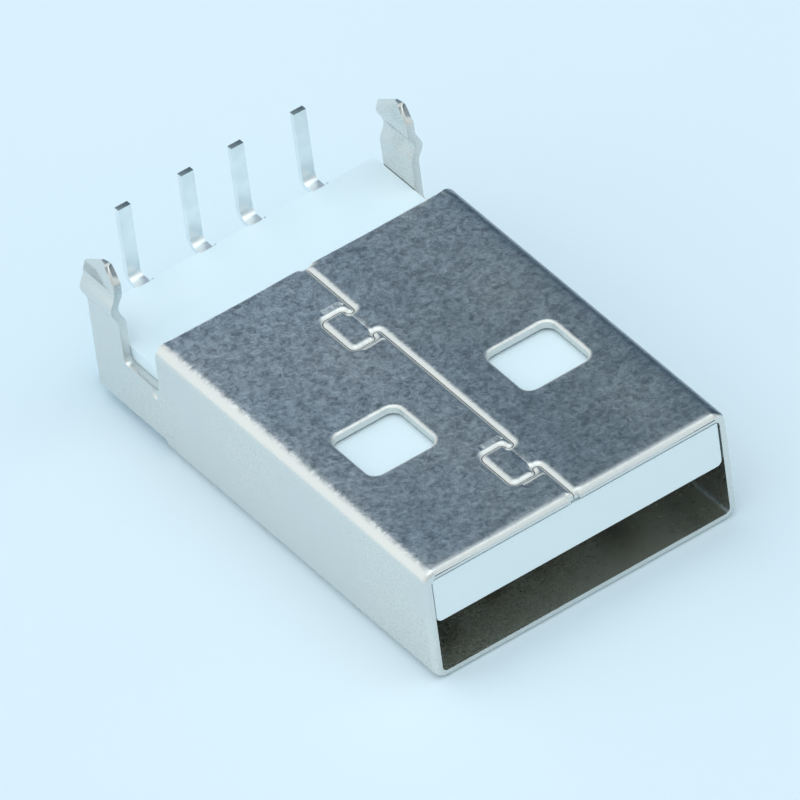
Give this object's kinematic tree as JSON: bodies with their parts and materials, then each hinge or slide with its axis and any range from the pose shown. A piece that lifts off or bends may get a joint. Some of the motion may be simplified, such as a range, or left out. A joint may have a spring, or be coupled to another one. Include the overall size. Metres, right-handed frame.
{
  "type": "usb-a plug",
  "caption": "Right-angle board plug: folded metal shell with a seam and latch windows, white insulator, contact strips turned up as solder pins, and board-lock legs.",
  "frame": {"origin": "below the middle of the whole plug, in the plane of the shell's lower outer face", "axes": "-Y out of the mating opening, +Y towards the solder pins, +Z the way the pins and legs point, +X along the row of pins"},
  "size_m": [0.0124, 0.02, 0.0065],
  "materials": {
    "shell_metal": "nickel-plated steel sheet, satin, faintly mottled",
    "insulator_plastic": "moulded, cool white, fine satin",
    "contact_metal": "stamped copper alloy with bright tin plating, gold flash under the tongue"
  },
  "bodies": {
    "root": {"shell": "shell_metal", "insulator": "insulator_plastic", "contact_1": "contact_metal", "contact_2": "contact_metal", "contact_3": "contact_metal", "contact_4": "contact_metal"}
  },
  "joints": []
}
